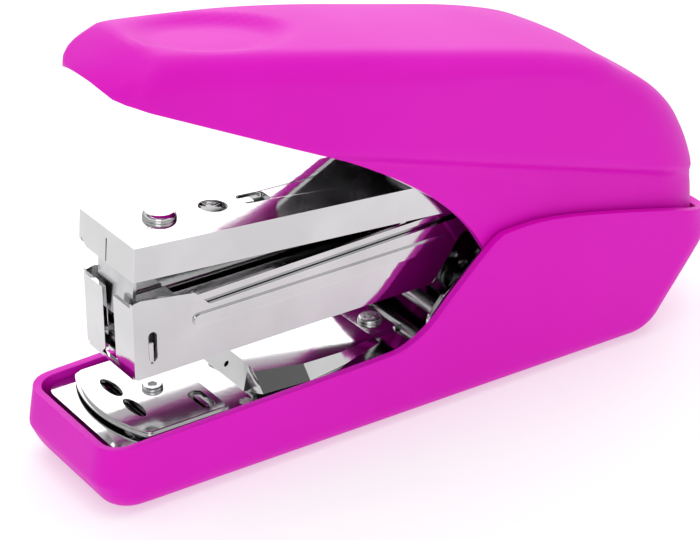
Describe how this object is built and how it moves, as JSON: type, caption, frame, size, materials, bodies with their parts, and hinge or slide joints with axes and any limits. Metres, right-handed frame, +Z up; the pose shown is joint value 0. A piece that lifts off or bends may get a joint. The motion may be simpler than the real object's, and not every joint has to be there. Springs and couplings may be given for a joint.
{
  "type": "stapler",
  "caption": "Desk stapler with a tall power-assist handle that presses a driver arm onto a hinged magazine over a sprung flat-clinch table.",
  "frame": {"origin": "middle of the footprint, on the surface the feet rest on", "axes": "+X from the nose to the tail, +Z up, -Y is the side seen from the left of the nose"},
  "size_m": [0.1454, 0.0368, 0.0852],
  "materials": {
    "pink_shell": "satin moulded plastic",
    "bright_plate": "bright nickel plate",
    "zinc_plate": "zinc-plated steel",
    "spring_steel": "spring steel",
    "black_rubber": "matt rubber"
  },
  "bodies": {
    "base": {"base_shell": "pink_shell", "foot_pads": "black_rubber", "base_screws": "zinc_plate", "base_plate": "bright_plate", "clincher_pins": "zinc_plate", "clincher_holder": "zinc_plate", "clinch_cover": "bright_plate", "cover_screw": "zinc_plate", "side_frame": "bright_plate", "arm_pivot_pin": "zinc_plate", "handle_pivot_pin": "zinc_plate", "cross_rod": "zinc_plate", "return_spring": "spring_steel", "table_spring": "spring_steel"},
    "table": {"clinch_table": "bright_plate", "table_under_plate": "bright_plate", "table_rivet": "zinc_plate"},
    "clincher_near": {"clincher_left": "zinc_plate"},
    "clincher_far": {"clincher_right": "zinc_plate"},
    "magazine": {"magazine_sheath": "bright_plate", "magazine_guide": "bright_plate", "magazine_rail": "bright_plate", "pusher_rod": "zinc_plate", "pusher_spring": "spring_steel"},
    "pusher": {"pusher": "zinc_plate"},
    "driver_arm": {"driver_cap": "bright_plate", "driver_frame": "bright_plate", "driver_blade": "spring_steel", "driver_rivet": "bright_plate", "leaf_spring": "spring_steel"},
    "handle": {"handle_shell": "pink_shell", "handle_screws": "zinc_plate", "handle_lever": "zinc_plate", "roller_pin": "zinc_plate"},
    "roller": {"press_roller": "zinc_plate"}
  },
  "joints": [
    {"name": "handle_press", "type": "hinge", "parent": "base", "child": "handle", "pos_m": [0.03012, 0, 0.022], "axis": [0, -1, 0], "range_deg": [0, 17], "stiffness_Nm_per_rad": 0.15, "springref_deg": -34.38},
    {"name": "arm_press", "type": "hinge", "parent": "base", "child": "driver_arm", "pos_m": [0.05212, 0, 0.025], "axis": [0, -1, 0], "range_deg": [0, 8.6]},
    {"name": "magazine_press", "type": "hinge", "parent": "base", "child": "magazine", "pos_m": [0.05212, 0, 0.025], "axis": [0, -1, 0], "range_deg": [0, 3.8]},
    {"name": "pusher_slide", "type": "slide", "parent": "magazine", "child": "pusher", "axis": [1, 0, 0], "range_m": [0, 0.044], "stiffness_N_per_m": 25, "springref_m": -0.02, "deforming": ["pusher_spring"]},
    {"name": "table_press", "type": "slide", "parent": "base", "child": "table", "axis": [0, 0, -1], "range_m": [0, 0.0006], "stiffness_N_per_m": 800, "springref_m": -0.001, "deforming": ["table_spring"]},
    {"name": "clincher_near_swing", "type": "hinge", "parent": "base", "child": "clincher_near", "pos_m": [-0.05928, -0.0094, 0.0086], "axis": [1, 0, 0], "range_deg": [0, 4.05]},
    {"name": "clincher_far_swing", "type": "hinge", "parent": "base", "child": "clincher_far", "pos_m": [-0.05928, 0.0094, 0.0086], "axis": [-1, 0, 0], "range_deg": [0, 4.05]},
    {"name": "roller_spin", "type": "hinge", "parent": "handle", "child": "roller", "pos_m": [0.00812, 0, 0.0485], "axis": [0, -1, 0], "continuous": true}
  ],
  "couplings": [
    {"joint": "arm_press", "follows": "handle_press", "ratio": 0.5},
    {"joint": "magazine_press", "follows": "handle_press", "ratio": 0.22},
    {"joint": "clincher_near_swing", "follows": "table_press", "rad_per_m": 116.36},
    {"joint": "clincher_far_swing", "follows": "table_press", "rad_per_m": 116.36}
  ]
}
